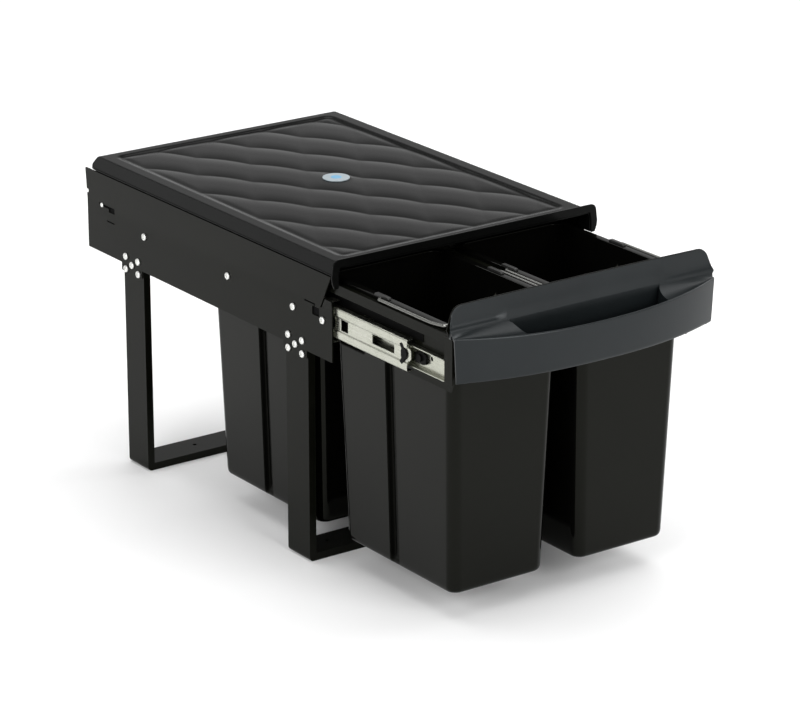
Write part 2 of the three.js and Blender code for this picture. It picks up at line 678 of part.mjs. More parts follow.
// the folded bail lies on the bin's front rim
const bailRise = 1.7 * Math.PI / 180;
const bail = (() => {
  const { y, z } = bailPivot;
  const reach = 114, side = 77.2;
  const at = (x, along) => new THREE.Vector3(x, y - along * Math.cos(bailRise),
    z + along * Math.sin(bailRise));
  return wire([at(-69.4, 0), at(-side, 0), at(-side, reach), at(side, reach), at(side, 0),
    at(69.4, 0)], [3, 5, 5, 3], 1.9);
})();

for (const end of ["front", "rear"]) {
  for (const [side, sign] of [["left", -1], ["right", 1]]) {
    const place = [sign * binCentreX, binCentreY[end] + drawerOut, 0];
    addPiece(drawerGroup, `bin_${end}_${side}`, bin, blackPlastic, place);
    addPiece(drawerGroup, `bail_${end}_${side}`, bail, zinc, place);
  }
}

export default model;
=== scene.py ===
import json
import math

import bmesh
import bpy
import numpy as np
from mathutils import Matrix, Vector

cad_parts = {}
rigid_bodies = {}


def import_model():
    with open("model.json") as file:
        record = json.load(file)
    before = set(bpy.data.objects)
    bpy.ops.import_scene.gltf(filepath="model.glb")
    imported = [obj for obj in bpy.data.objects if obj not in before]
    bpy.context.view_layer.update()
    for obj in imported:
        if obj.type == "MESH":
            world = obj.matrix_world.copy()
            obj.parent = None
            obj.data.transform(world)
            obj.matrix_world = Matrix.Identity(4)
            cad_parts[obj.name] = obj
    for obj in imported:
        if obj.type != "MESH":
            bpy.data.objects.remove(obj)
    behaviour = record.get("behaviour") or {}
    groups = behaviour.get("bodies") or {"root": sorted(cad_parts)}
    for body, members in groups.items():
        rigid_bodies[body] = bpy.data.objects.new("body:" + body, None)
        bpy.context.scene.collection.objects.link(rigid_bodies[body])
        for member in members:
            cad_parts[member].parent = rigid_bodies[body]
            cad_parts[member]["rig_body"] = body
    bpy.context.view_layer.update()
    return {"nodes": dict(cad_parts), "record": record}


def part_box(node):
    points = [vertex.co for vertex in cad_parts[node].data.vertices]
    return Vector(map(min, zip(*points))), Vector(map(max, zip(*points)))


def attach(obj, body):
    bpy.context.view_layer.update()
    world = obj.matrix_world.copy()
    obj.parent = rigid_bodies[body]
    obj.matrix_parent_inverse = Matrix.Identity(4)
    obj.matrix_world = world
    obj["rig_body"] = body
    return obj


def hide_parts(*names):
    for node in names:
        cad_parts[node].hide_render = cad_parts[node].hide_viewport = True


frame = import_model()
MM = 0.001

# ---------------------------------------------------------------- where things are
# All lengths below are millimetres in a working frame whose Y zero is the side
# panels' front edge; to_row turns such a point into the frame's metres.
PANEL_DEPTH = 484
FRONT_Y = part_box("side_panel_right")[1].y / MM - PANEL_DEPTH


def to_row(p):
    return (p[0] * MM, (p[1] + FRONT_Y) * MM, p[2] * MM)


def node_box(name):
    low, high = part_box(name)
    return ([low.x / MM, low.y / MM - FRONT_Y, low.z / MM],
            [high.x / MM, high.y / MM - FRONT_Y, high.z / MM])


# ---------------------------------------------------------------- materials
def new_material(name):
    mat = bpy.data.materials.new(name)
    mat.use_nodes = True
    tree = mat.node_tree
    bsdf = tree.nodes["Principled BSDF"]
    return mat, tree, bsdf


def add(tree, kind, **values):
    node = tree.nodes.new(kind)
    for key, value in values.items():
        if key in node.inputs:
            node.inputs[key].default_value = value
        else:
            setattr(node, key, value)
    return node


def coords(tree, scale=(1, 1, 1)):
    place = add(tree, "ShaderNodeTexCoord")
    mapping = add(tree, "ShaderNodeMapping")
    mapping.inputs["Scale"].default_value = scale
    tree.links.new(place.outputs["Object"], mapping.inputs["Vector"])
    return mapping.outputs["Vector"]


def noise(tree, vector, scale, detail=3.0, rough=0.5):
    node = add(tree, "ShaderNodeTexNoise")
    node.inputs["Scale"].default_value = scale
    node.inputs["Detail"].default_value = detail
    node.inputs["Roughness"].default_value = rough
    tree.links.new(vector, node.inputs["Vector"])
    return node.outputs["Fac"]


def spread(tree, value, low, high, low_in=0.35, high_in=0.65):
    node = add(tree, "ShaderNodeMapRange")
    node.inputs["From Min"].default_value = low_in
    node.inputs["From Max"].default_value = high_in
    node.inputs["To Min"].default_value = low
    node.inputs["To Max"].default_value = high
    tree.links.new(value, node.inputs["Value"])
    return node.outputs["Result"]


def mix_colour(tree, factor, a, b):
    node = add(tree, "ShaderNodeMix", data_type="RGBA")
    tree.links.new(factor, node.inputs["Factor"])
    for socket, colour in ((node.inputs[6], a), (node.inputs[7], b)):
        if isinstance(colour, tuple):
            socket.default_value = (*colour, 1)
        else:
            tree.links.new(colour, socket)
    return node.outputs[2]


def bump(tree, bsdf, height, strength, distance):
    node = add(tree, "ShaderNodeBump")
    node.inputs["Strength"].default_value = strength
    node.inputs["Distance"].default_value = distance
    tree.links.new(height, node.inputs["Height"])
    tree.links.new(node.outputs["Normal"], bsdf.inputs["Normal"])


def edge_mask(tree, radius=0.0008):
    """1 on edges and 0 on flats, from how far a rounded normal leans from the true one."""
    geo = add(tree, "ShaderNodeNewGeometry")
    soft = add(tree, "ShaderNodeBevel", samples=4)
    soft.inputs["Radius"].default_value = radius
    lean = add(tree, "ShaderNodeVectorMath", operation="DOT_PRODUCT")
    tree.links.new(geo.outputs["Normal"], lean.inputs[0])
    tree.links.new(soft.outputs["Normal"], lean.inputs[1])
    return spread(tree, lean.outputs["Value"], 1, 0, 0.75, 0.98)


def powder_coat(name, colour, worn, rough=(0.22, 0.3), grain=0.3, shine=0.36):
    """Baked powder coat: fine orange peel, faint cloudiness, slightly polished edges."""
    mat, tree, bsdf = new_material(name)
    where = coords(tree)
    cloud = noise(tree, where, 14, 4)
    peel = noise(tree, where, 900, 2)
    speck = noise(tree, where, 3200, 1)
    base = mix_colour(tree, spread(tree, cloud, 0, 1), colour, tuple(c * 1.35 for c in colour))
    base = mix_colour(tree, edge_mask(tree), base, worn)
    tree.links.new(base, bsdf.inputs["Base Color"])
    tree.links.new(spread(tree, cloud, *rough), bsdf.inputs["Roughness"])
    both = add(tree, "ShaderNodeMath", operation="ADD")
    tree.links.new(peel, both.inputs[0])
    tree.links.new(speck, both.inputs[1])
    bump(tree, bsdf, both.outputs[0], grain, 0.00008)
    bsdf.inputs["Specular IOR Level"].default_value = shine
    return mat


def moulded(name, colour, rough, grain, grain_scale=1400, shine=0.4, wave=0.0):
    """Injection-moulded plastic: leather-fine texture, flow clouds, scuffs."""
    mat, tree, bsdf = new_material(name)
    where = coords(tree)
    cloud = noise(tree, where, 9, 5, 0.6)
    fine = noise(tree, where, grain_scale, 2)
    scuff = noise(tree, coords(tree, (1, 1, 0.12)), 220, 4, 0.7)
    base = mix_colour(tree, spread(tree, cloud, 0, 1), colour, tuple(c * 1.3 for c in colour))
    base = mix_colour(tree, edge_mask(tree), base, tuple(min(1, c * 1.8) for c in colour))
    tree.links.new(base, bsdf.inputs["Base Color"])
    mixed = add(tree, "ShaderNodeMath", operation="MULTIPLY_ADD")
    mixed.inputs[1].default_value = 0.35
    tree.links.new(scuff, mixed.inputs[0])
    tree.links.new(cloud, mixed.inputs[2])
    tree.links.new(spread(tree, mixed.outputs[0], rough[0], rough[1], 0.45, 0.9),
                   bsdf.inputs["Roughness"])
    height = fine
    if wave:
        big = noise(tree, where, 26, 1)
        total = add(tree, "ShaderNodeMath", operation="MULTIPLY_ADD")
        total.inputs[1].default_value = wave
        tree.links.new(big, total.inputs[0])
        tree.links.new(fine, total.inputs[2])
        height = total.outputs[0]
    bump(tree, bsdf, height, grain, 0.0001)
    bsdf.inputs["Specular IOR Level"].default_value = shine
    return mat


def zinc_plate(name, colour=(0.60, 0.61, 0.58), rough=(0.2, 0.34), streak=(1, 0.05, 1)):
    """Rolled zinc-plated steel: streaks along the rolling direction, blue-yellow passivation."""
    mat, tree, bsdf = new_material(name)
    bsdf.inputs["Metallic"].default_value = 1
    lines = noise(tree, coords(tree, streak), 1500, 2)
    cloud = noise(tree, coords(tree), 38, 3)
    tint = mix_colour(tree, spread(tree, cloud, 0, 1), colour,
                      (colour[0] * 0.93, colour[1] * 0.94, colour[2] * 0.92))
    worn = mix_colour(tree, edge_mask(tree, 0.0004), tint, (0.85, 0.86, 0.85))
    tree.links.new(worn, bsdf.inputs["Base Color"])
    total = add(tree, "ShaderNodeMath", operation="MULTIPLY_ADD")
    total.inputs[1].default_value = 0.5
    tree.links.new(cloud, total.inputs[0])
    tree.links.new(lines, total.inputs[2])
    tree.links.new(spread(tree, total.outputs[0], rough[0], rough[1], 0.5, 1.0),
                   bsdf.inputs["Roughness"])
    bump(tree, bsdf, lines, 0.06, 0.00005)
    return mat


steel = powder_coat("powder_coated_steel", (0.0028, 0.0030, 0.0020), (0.010, 0.010, 0.009),
                    (0.2, 0.27), 0.1, 0.075)
lid_black = moulded("lid_moulding", (0.0022, 0.0023, 0.0022), (0.16, 0.22), 0.05, 1100, 0.056)
handle_black = moulded("handle_moulding", (0.0048, 0.0062, 0.0068), (0.28, 0.36), 0.2, 1600, 0.27)
BIN_SHINE, BIN_WAVE = 0.12, 6.0
bin_black = moulded("bin_moulding", (0.0014, 0.0014, 0.0012), (0.08, 0.13), 0.04, 700, BIN_SHINE,
                    BIN_WAVE)
trim_black = moulded("trim_moulding", (0.0016, 0.0016, 0.0016), (0.35, 0.45), 0.2, shine=0.05)
zinc = zinc_plate("zinc_plated_steel", (0.50, 0.505, 0.44))
screw_zinc = zinc_plate("zinc_screw", (0.85, 0.85, 0.83), (0.3, 0.45), (1, 1, 1))
bright_wire = zinc_plate("bright_wire", (0.2, 0.2, 0.19), (0.16, 0.26), (1, 1, 1))
# painted shade: a near-black, rough material for fills that stand in for shadow in slots and
# recesses
shade_fill_black = moulded("painted_shade_fill", (0.0012, 0.0012, 0.0012), (0.5, 0.6), 0.1, 900, 0.03)
lug_grey = moulded("lug_moulding", (0.016, 0.016, 0.0155), (0.3, 0.4), 0.1, 900, 0.3)
badge_blue = moulded("badge_disc", (0.10, 0.27, 0.42), (0.3, 0.4), 0.1, 900)
badge_white = moulded("badge_rim", (0.25, 0.29, 0.31), (0.3, 0.4), 0.1, 900)

# painted shade: an occlusion term turns the bin's gloss down where its surface is enclosed, so its
# grooves and inner corners read black
SHADE_REACH = 0.02
shade = add(bin_black.node_tree, "ShaderNodeAmbientOcclusion", samples=8, only_local=True)
shade.inputs["Distance"].default_value = SHADE_REACH
bin_black.node_tree.links.new(
    spread(bin_black.node_tree, shade.outputs["AO"], 0.0, BIN_SHINE, 0.76, 0.985),
    bin_black.node_tree.nodes["Principled BSDF"].inputs["Specular IOR Level"])

# the coatings' reflections are faintly coloured
for material, tint in ((steel, (0.985, 1.0, 0.92)), (bin_black, (0.97, 1.0, 0.86)),
                       (handle_black, (0.94, 0.98, 1.0)), (lid_black, (0.975, 1.0, 0.975))):
    material.node_tree.nodes["Principled BSDF"].inputs["Specular Tint"].default_value = (*tint, 1)

SLOTS = {"black_steel": steel, "lid_plastic": lid_black, "badge_plastic": badge_blue, "zinc": zinc,
         "handle_plastic": handle_black, "bin_plastic": bin_black, "bail_wire": bright_wire,
         "trim_plastic": trim_black}
slot_of = {s["node"]: s["material_slot"] for s in frame["record"]["subparts"]}
for node_name, node_object in frame["nodes"].items():
    node_object.data.materials.clear()
    node_object.data.materials.append(SLOTS[slot_of[node_name]])


# ---------------------------------------------------------------- mesh helpers
def new_piece(name, vertices, faces, body, slot_name, material, smooth=35, replaces=()):
    """A mesh piece from points in the working frame."""
    mesh = bpy.data.meshes.new(name)
    mesh.from_pydata([to_row(p) for p in vertices], [], faces)
    mesh.validate()
    return place_piece(name, mesh, body, material, smooth, replaces)


def place_piece(name, mesh, body, material, smooth, replaces):
    bm = bmesh.new()
    bm.from_mesh(mesh)
    bmesh.ops.remove_doubles(bm, verts=bm.verts, dist=1e-6)
    bmesh.ops.recalc_face_normals(bm, faces=bm.faces)
    bm.to_mesh(mesh)
    bm.free()
    piece = bpy.data.objects.new(name, mesh)
    bpy.context.scene.collection.objects.link(piece)
    mesh.materials.append(material)
    mesh.polygons.foreach_set("use_smooth", [True] * len(mesh.polygons))
    mesh.set_sharp_from_angle(angle=math.radians(smooth))
    flats = piece.modifiers.new("flats", "WEIGHTED_NORMAL")
    flats.mode = "FACE_AREA"
    flats.keep_sharp = True
    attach(piece, body)
    if replaces:
        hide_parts(*replaces)
    return piece


def bevelled(piece, width, segments=2, angle=30):
    mod = piece.modifiers.new("edges", "BEVEL")
    mod.width = width * MM
    mod.segments = segments
    mod.limit_method = "ANGLE"
    mod.angle_limit = math.radians(angle)
    mod.use_clamp_overlap = True
    piece.modifiers.move(len(piece.modifiers) - 1, 0)
    return piece


def refine(node, width=0.35, segments=2, material=None, smooth=30):
    """The node's own shape with its flat faces merged and every edge rounded."""
    source = frame["nodes"][node]
    mesh = source.data.copy()
    bm = bmesh.new()
    bm.from_mesh(mesh)
    bmesh.ops.remove_doubles(bm, verts=bm.verts, dist=1e-6)
    bmesh.ops.dissolve_limit(bm, angle_limit=math.radians(1.0), verts=bm.verts, edges=bm.edges)
    bm.to_mesh(mesh)
    bm.free()
    mesh.materials.clear()
    slot_name = slot_of[node]
    body = source["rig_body"]
    piece = place_piece(node + "_finish", mesh, body, material or SLOTS[slot_name],
                        smooth, (node,))
    return bevelled(piece, width, segments)


def loft(rings, close=True, caps=True):
    """Vertices and faces of a skin through rings of equal point count."""
    count = len(rings[0])
    vertices = [p for ring in rings for p in ring]
    faces = []
    for r in range(len(rings) - 1):
        for i in range(count if close else count - 1):
            j = (i + 1) % count
            faces.append((r * count + i, r * count + j, (r + 1) * count + j, (r + 1) * count + i))
    if caps:
        faces.append(tuple(range(count))[::-1])
        faces.append(tuple(range((len(rings) - 1) * count, len(rings) * count)))
    return vertices, faces


def merge(*parts):
    vertices, faces = [], []
    for v, f in parts:
        base = len(vertices)
        vertices += list(v)
        faces += [tuple(i + base for i in face) for face in f]
    return vertices, faces


def moved(part, dx=0, dy=0, dz=0, flip_x=False):
    v, f = part
    sign = -1 if flip_x else 1
    return [(sign * (p[0] + dx), p[1] + dy, p[2] + dz) for p in v], f


def sweep(points, radius, sides=12):
    """A round wire through points."""
    path = [Vector(p) for p in points]
    rings = []
    normal = None
    for i, p in enumerate(path):
        before, after = path[max(i - 1, 0)], path[min(i + 1, len(path) - 1)]
        along = (after - before).normalized()
        if normal is None:
            normal = along.orthogonal().normalized()
        normal = (normal - along * normal.dot(along)).normalized()
        side = along.cross(normal)
        rings.append([tuple(p + (normal * math.cos(a) + side * math.sin(a)) * radius)
                      for a in [2 * math.pi * k / sides for k in range(sides)]])
    return loft(rings)


def rounded_corners(corners, bends, steps=6):
    pts = [Vector(corners[0])]
    for i in range(1, len(corners) - 1):
        c, bend = Vector(corners[i]), bends[i - 1]
        back = (Vector(corners[i - 1]) - c).normalized() * bend
        on = (Vector(corners[i + 1]) - c).normalized() * bend
        for k in range(steps + 1):
            t = k / steps
            pts.append(c + back * (1 - t) ** 2 + on * t ** 2)
    pts.append(Vector(corners[-1]))
    return pts


# ---------------------------------------------------------------- camera, light and floor
AZIMUTH, ELEVATION = -35.6398, 19.58405
SENSOR_WIDTH, LENS = 36, 161.4024
CAMERA_AT = (-2131.26, -2860.75, 1481.42)
a, e = math.radians(AZIMUTH), math.radians(ELEVATION)
back = Vector((math.sin(a) * math.cos(e), -math.cos(a) * math.cos(e), math.sin(e)))
cam_data = bpy.data.cameras.new("camera")
cam_data.lens = LENS
cam_data.sensor_width = SENSOR_WIDTH
cam_data.clip_end = 50
camera = bpy.data.objects.new("camera", cam_data)
bpy.context.scene.collection.objects.link(camera)
camera.location = to_row(CAMERA_AT)
camera.rotation_mode = "QUATERNION"
camera.rotation_quaternion = (-back).to_track_quat("-Z", "Y")
bpy.context.scene.camera = camera


def area_light(name, location, target, size, energy, size_y=None):
    data = bpy.data.lights.new(name, "AREA")
    data.shape = "RECTANGLE"
    data.size, data.size_y = size, size_y or size
    data.energy = energy
    light = bpy.data.objects.new(name, data)
    bpy.context.scene.collection.objects.link(light)
    light.location = location
    light.rotation_mode = "QUATERNION"
    light.rotation_quaternion = (Vector(target) - Vector(location)).to_track_quat("-Z", "Y")
    return light


area_light("top_softbox", (0.7, 0.9, 3.6), (0.4, 0.7, 0.2), 4.6, 150, 4.8)
area_light("front_softbox", (0.8, -4.9, 2.3), (0, 0, 0.1), 3.2, 170, 2.6)
area_light("left_softbox", (-4.4, -1.3, 2.4), (0, 0, 0.1), 3.2, 145, 2.6)
area_light("back_left_softbox", (-1.3, 3.9, 3.0), (0, 0.2, 0.3), 1.6, 11, 1.2)
area_light("right_softbox", (4.8, -0.8, 2.2), (0, 0, 0.1), 3.2, 100, 2.6)
# the sky is bright at the horizon and dims towards the top
HORIZON, ZENITH = 0.95, 0.12
world = bpy.data.worlds.new("studio")
world.use_nodes = True
sky = world.node_tree
place = add(sky, "ShaderNodeTexCoord")
parts = add(sky, "ShaderNodeSeparateXYZ")
sky.links.new(place.outputs["Generated"], parts.inputs["Vector"])
fall = spread(sky, parts.outputs["Z"], HORIZON, ZENITH, 0.12, 0.58)
sky.links.new(fall, sky.nodes["Background"].inputs["Strength"])
sky.nodes["Background"].inputs["Color"].default_value = (1, 1, 1, 1)
bpy.context.scene.world = world
bpy.context.scene.view_settings.view_transform = "Standard"

floor_mesh = bpy.data.meshes.new("floor")
FLOOR_HALF = 8.0
floor_mesh.from_pydata([(-FLOOR_HALF, -FLOOR_HALF, 0), (FLOOR_HALF, -FLOOR_HALF, 0),
                        (FLOOR_HALF, FLOOR_HALF, 0), (-FLOOR_HALF, FLOOR_HALF, 0)], [],
                       [(0, 1, 2, 3)])
floor = bpy.data.objects.new("floor", floor_mesh)
bpy.context.scene.collection.objects.link(floor)
floor_mat, _, floor_bsdf = new_material("floor_paper")
floor_bsdf.inputs["Base Color"].default_value = (0.9, 0.9, 0.9, 1)
floor_bsdf.inputs["Roughness"].default_value = 0.9
floor_mesh.materials.append(floor_mat)

# ---------------------------------------------------------------- frame: sheet and tube
for side in ("left", "right"):
    refine(f"side_panel_{side}", 0.3)
    refine(f"slide_outer_{side}", 0.3)
    refine(f"slide_inner_{side}", 0.3)
    refine(f"slide_lever_{side}", 0.4)
for end in ("front", "rear"):
    refine(f"leg_{end}", 0.8, 3)
refine("drawer_ring", 0.35)


# ---------------------------------------------------------------- middle slide members
# The member's section: two rolled raceways standing proud of a recessed web.
rolled_half = [(161.0, 281), (161.0, 287.3), (161.12, 287.9), (161.45, 288.3), (161.9, 288.7),
               (162.15, 289.3), (162.2, 290.1), (162.2, 296.0), (161.9, 296.9), (161.2, 297.6),
               (160.2, 298), (155.0, 298), (154.8, 297.4), (155.0, 296.9), (159.6, 296.9),
               (160.6, 296.5), (161.0, 295.7), (161.0, 290.4), (160.8, 289.7), (160.2, 289.2),
               (159.95, 288.6), (159.9, 287.9), (159.9, 281)]
MIDDLE = node_box("slide_middle_left")
# windows in the web: where each begins and ends along the slide, and its height
windows = [(-103, -64.6, 276.8, 287.2), (-22, -9.4, 275, 287.2), (35, 45, 276, 286),
           (120, 160, 276, 286)]


def web_section(low, high):
    """Upper and lower parts of the section left beside a window from low to high."""
    upper = [(x, max(z, high)) for x, z in rolled_half]
    lower = [(x, min(562 - z, low)) for x, z in rolled_half]
    return upper, lower


def along_y(outline, y0, y1):
    return loft([[(x, y, z) for x, z in outline] for y in (y0, y1)])


stations = [MIDDLE[0][1]]
for y0, y1, low, high in windows:
    stations += [y0, y1]
stations.append(MIDDLE[1][1])
parts = []
for i in range(len(stations) - 1):
    y0, y1 = stations[i], stations[i + 1]
    if i % 2:
        low, high = windows[i // 2][2:]
    else:
        low = high = 281
    for outline in web_section(low, high):
        parts.append(along_y(outline, y0, y1))
front_y = MIDDLE[0][1]
tab = [(front_y + 0.5, 275.5), (front_y - 2.6, 276.2), (front_y - 5.0, 278.2), (front_y - 5.6, 280),
       (front_y - 5.6, 285.6), (front_y - 5.0, 287.6), (front_y - 2.6, 289.6),
       (front_y + 0.5, 290.4)]
parts.append(loft([[(x, y, z) for y, z in tab] for x in (160.0, 161.0)]))
middle_shape = merge(*parts)
retainer = [(-113.5, 291.5), (-115.2, 289), (-116.6, 287), (-115.8, 284.5), (-115.8, 279.5),
            (-116.6, 277), (-115.2, 275), (-113.5, 272.5), (-117.5, 270.3), (-119.6, 272.3),
            (-121.0, 275), (-124.2, 277.8), (-126.0, 280.6), (-126.0, 283.6), (-124.2, 286.6),
            (-121.2, 289.2), (-119.6, 291.8), (-117.2, 293.6)]
retainer_shape = loft([[(x, y, z) for y, z in retainer] for x in (160.6, 162.45)])
for side, sign in (("right", 1), ("left", -1)):
    flip = sign < 0
    piece = new_piece(f"slide_middle_{side}_detail", *moved(middle_shape, flip_x=flip),
                      "slide_middles", "zinc", zinc, 40, (f"slide_middle_{side}",))
    piece = new_piece(f"slide_clip_{side}_detail", *moved(retainer_shape, flip_x=flip),
                      "slide_middles", "trim_plastic", trim_black, 30, (f"slide_clip_{side}",))
    bevelled(piece, 0.25)

# painted shade: a dark strip on the ring's web above each slide stands in for the shadow in the
# recess under the ring's flange
strip_rear = node_box("drawer_ring")[1][1] - 3
strip_ring = [(-140, 298), (strip_rear, 298), (strip_rear, 310.8), (-140, 310.8)]
strip_shape = loft([[(x, y, z) for y, z in strip_ring] for x in (151.7, 152.1)])
for side in ("left", "right"):
    new_piece(f"shade_strip_{side}", *moved(strip_shape, flip_x=side == "left"), "drawer",
              "trim_plastic", shade_fill_black, 40)


# ---------------------------------------------------------------- screws
def cross_head(radius, height, slot=0.62, reach=2.2, deep=1.3, rings=11, sides=48):
    """A domed head around +X with a cross recess; its seat lies in the plane x = 0."""
    rows = []
    rows.append([(0.0, radius) for _ in range(sides)])
    rows.append([(height * 0.35, radius) for _ in range(sides)])
    rows.append([(height * 0.5, radius * 0.97) for _ in range(sides)])
    points = []
    for k, row in enumerate(rows):
        for s in range(sides):
            ang = 2 * math.pi * s / sides
            points.append((row[s][0], row[s][1] * math.cos(ang), row[s][1] * math.sin(ang)))
    for k in range(rings):
        r = radius * 0.9 * (1 - k / rings)
        for s in range(sides):
            ang = 2 * math.pi * s / sides
            y, z = r * math.cos(ang), r * math.sin(ang)
            x = height * (0.5 + 0.5 * math.sqrt(max(0, 1 - (r / radius) ** 2)))
            width = slot * (1 + 0.25 * (1 - r / radius))
            if (abs(y) < width and abs(z) < reach) or (abs(z) < width and abs(y) < reach):
                x -= deep
            points.append((x, y, z))
    count = 3 + rings
    faces = []
    for r in range(count - 1):
        for s in range(sides):
            t = (s + 1) % sides
            faces.append((r * sides + s, r * sides + t, (r + 1) * sides + t, (r + 1) * sides + s))
    points.append((height - deep, 0, 0))
    centre = len(points) - 1
    for s in range(sides):
        faces.append(((count - 1) * sides + s, (count - 1) * sides + (s + 1) % sides, centre))
    return points, faces


def shank(radius, length, sides=16):
    rings = []
    for x, r in ((0.05, radius), (-length + 0.6, radius), (-length, radius * 0.6)):
        angles = [2 * math.pi * k / sides for k in range(sides)]
        rings.append([(x, r * math.cos(a), r * math.sin(a)) for a in angles])
    return loft(rings)


def turned(part, degrees):
    c, s = math.cos(math.radians(degrees)), math.sin(math.radians(degrees))
    v, f = part
    return [(p[0], p[1] * c - p[2] * s, p[1] * s + p[2] * c) for p in v], f


PANEL_FACE = 166.3
for side, sign in (("right", 1), ("left", -1)):
    flip = sign < 0
    # painted shade: dark fills set in the hook slots stand in for the shadow inside them
    shade_fills = []
    for y0, y1, z0, z1 in ((22.9, 35.5, 281.6, 290.7), (31.1, 49.9, 292.7, 294.3),
                           (425.9, 437.9, 289.5, 294.9), (438.1, 449.7, 293.3, 294.9),
                           (454.3, 458.3, 293.7, 294.9), (426.5, 442.3, 277.5, 278.9)):
        ring = [(y0, z0), (y1, z0), (y1, z1), (y0, z1)]
        shade_fills.append(loft([[(x, y, z) for y, z in ring] for x in (164.6, 165.0)]))
    new_piece(f"slot_shade_fills_{side}", *moved(merge(*shade_fills), flip_x=flip), "cabinet_frame",
              "trim_plastic", shade_fill_black, 40)
    for i in range(1, 5):
        low, high = node_box(f"slide_screw_{i}_{side}")
        yc, zc = (low[1] + high[1]) / 2, (low[2] + high[2]) / 2
        part = merge(turned(cross_head(4, 2.2), 25 * i), shank(1.9, 3.6))
        part = moved(part, PANEL_FACE, yc, zc, flip)
        new_piece(f"slide_screw_{i}_{side}_detail", *part, "cabinet_frame", "zinc", screw_zinc, 40,
                  (f"slide_screw_{i}_{side}",))
    low, high = node_box(f"panel_rivet_{side}")
    yc, zc = (low[1] + high[1]) / 2, (low[2] + high[2]) / 2
    part = merge(cross_head(2.6, 1.0, 0, 0, 0), shank(1.3, 1.8))
    new_piece(f"panel_rivet_{side}_detail", *moved(part, PANEL_FACE, yc, zc, flip),
              "cabinet_frame", "zinc", screw_zinc, 40, (f"panel_rivet_{side}",))
    for end in ("front", "rear"):
        low, high = node_box(f"leg_screws_{end}_{side}")
        yc, zc = (low[1] + high[1]) / 2, (low[2] + high[2]) / 2
        heads = []
        for n, (dy, dz) in enumerate([(0, 0), (-12.8, -7.3), (12.8, -7.3), (-12.8, 7.3),
                                      (12.8, 7.3)]):
            head = merge(turned(cross_head(4, 2.2), 17 * n + 8), shank(1.9, 5.0))
            heads.append(moved(head, PANEL_FACE, dy + yc, dz + zc, flip))
        plate_x = (PANEL_FACE - 6.0, PANEL_FACE - 3.8)
        ring = [(y, z) for y, z in ((-17, -11.5), (17, -11.5), (17, 11.5), (-17, 11.5))]
        plate = loft([[(x, y + yc, z + zc) for y, z in ring] for x in plate_x])
        heads.append(moved(plate, flip_x=flip))
        new_piece(f"leg_screws_{end}_{side}_detail", *merge(*heads), "cabinet_frame", "zinc",
                  screw_zinc, 40, (f"leg_screws_{end}_{side}",))

# ---------------------------------------------------------------- lid
RIM_Z = 346.4
LID_REAR = 469.0
CORNER = 10.0
FIELD = (-147.5, 147.5, 10.0, 457.0)
FIELD_CORNER = 12
QUILT_WIDTH, QUILT_LENGTH, QUILT_START = 71, 115, 59
QUILT_BASE, QUILT_RISE = 344.3, 1.15
BADGE_SEAT = 345.45
BADGE = node_box("lid_badge")
badge_x = (BADGE[0][0] + BADGE[1][0]) / 2
badge_y = (BADGE[0][1] + BADGE[1][1]) / 2


def field_depth(x, y):
    """Signed distance inside the field's rounded outline."""
    r = FIELD_CORNER
    cx, cy = (FIELD[0] + FIELD[1]) / 2, (FIELD[2] + FIELD[3]) / 2
    hx, hy = (FIELD[1] - FIELD[0]) / 2 - r, (FIELD[3] - FIELD[2]) / 2 - r
    qx, qy = abs(x - cx) - hx, abs(y - cy) - hy
    outside = math.hypot(max(qx, 0), max(qy, 0)) + min(max(qx, qy), 0)
    return r - outside


def smoothstep(t):
    t = min(1, max(0, t))
    return t * t * (3 - 2 * t)


def lid_top(x, y):
    """Height of the lid: a flat rim, and inside it pillows between two families of creases."""
    depth = field_depth(x, y)
    if depth <= 0:
        return RIM_Z
    v = x / QUILT_WIDTH - (y - QUILT_START) / QUILT_LENGTH
    across = abs(math.sin(math.pi * v))
    u = x / QUILT_WIDTH + (y - QUILT_START) / QUILT_LENGTH - 0.07 * across
    along = abs(math.sin(math.pi * u))
    along = (1 - (1 - along) ** 1.4) ** 0.8
    across = 0.62 + 0.38 * (1 - (1 - across) ** 1.6) ** 0.8
    z = QUILT_BASE + QUILT_RISE * along * across * smoothstep(depth / 16)
    near = math.hypot(x - badge_x, y - badge_y)
    if near < 19:
        z = z + (BADGE_SEAT - z) * (1 - smoothstep((near - 15.6) / 3))
    edge = smoothstep(depth / 8)
    return RIM_Z + (z - RIM_Z) * edge


def lid_ring(y, solid, shrink):
    """One cross-section of the lid's shell, seen from the front; the rear wall's are solid."""
    slope = [(171.6 - 10.2 * k / 12, 337.0 + 9.0 * k / 12) for k in range(12)]
    half = [(166.8, 334.8), (171.3, 335.3), (171.8, 335.5), (172, 336.0), (171.9, 336.5),
            *slope, (161.4, 346.0), (161.1, 346.15), (160.8, 346.15), (160.5, 345.95),
            (160.2, 345.95), (159.9, 346.3), (159.5, RIM_Z)]
    xs = list(np.linspace(157, 148.5, 5)) + list(np.linspace(147.4, -147.4, 165))
    xs += list(np.linspace(-148.5, -157, 5))
    top = [(x, lid_top(x, y)) for x in xs]
    outer = half + top + [(-x, z) for x, z in half[::-1]]
    outer = [(x * (1 - shrink / 172), z - (shrink * 0.9 if z > 338 else 0)) for x, z in outer]
    under = [(166.4, 334.6), (166.4, 331.8), (165.5, 331.2), (165.5, 327.8), (164.6, 327.8),
             (164.6, 333), (160.4, 341.9), (150, 341.2), (100, 341)]
    if solid:
        under = [(166.4, 334.6)] + [(x, 331.8) for x in (166.4, 165.8, 165.2, 164.6, 160, 155,
                                                         150, 100)]
    inner = [(-x, z) for x, z in under] + [(x, z) for x, z in under[::-1]]
    past = max(0.0, y - (LID_REAR - CORNER))
    limit = 172 - CORNER + math.sqrt(max(0.0, CORNER ** 2 - past ** 2))
    return [(min(limit, max(-limit, x)), y, z) for x, z in outer + inner]


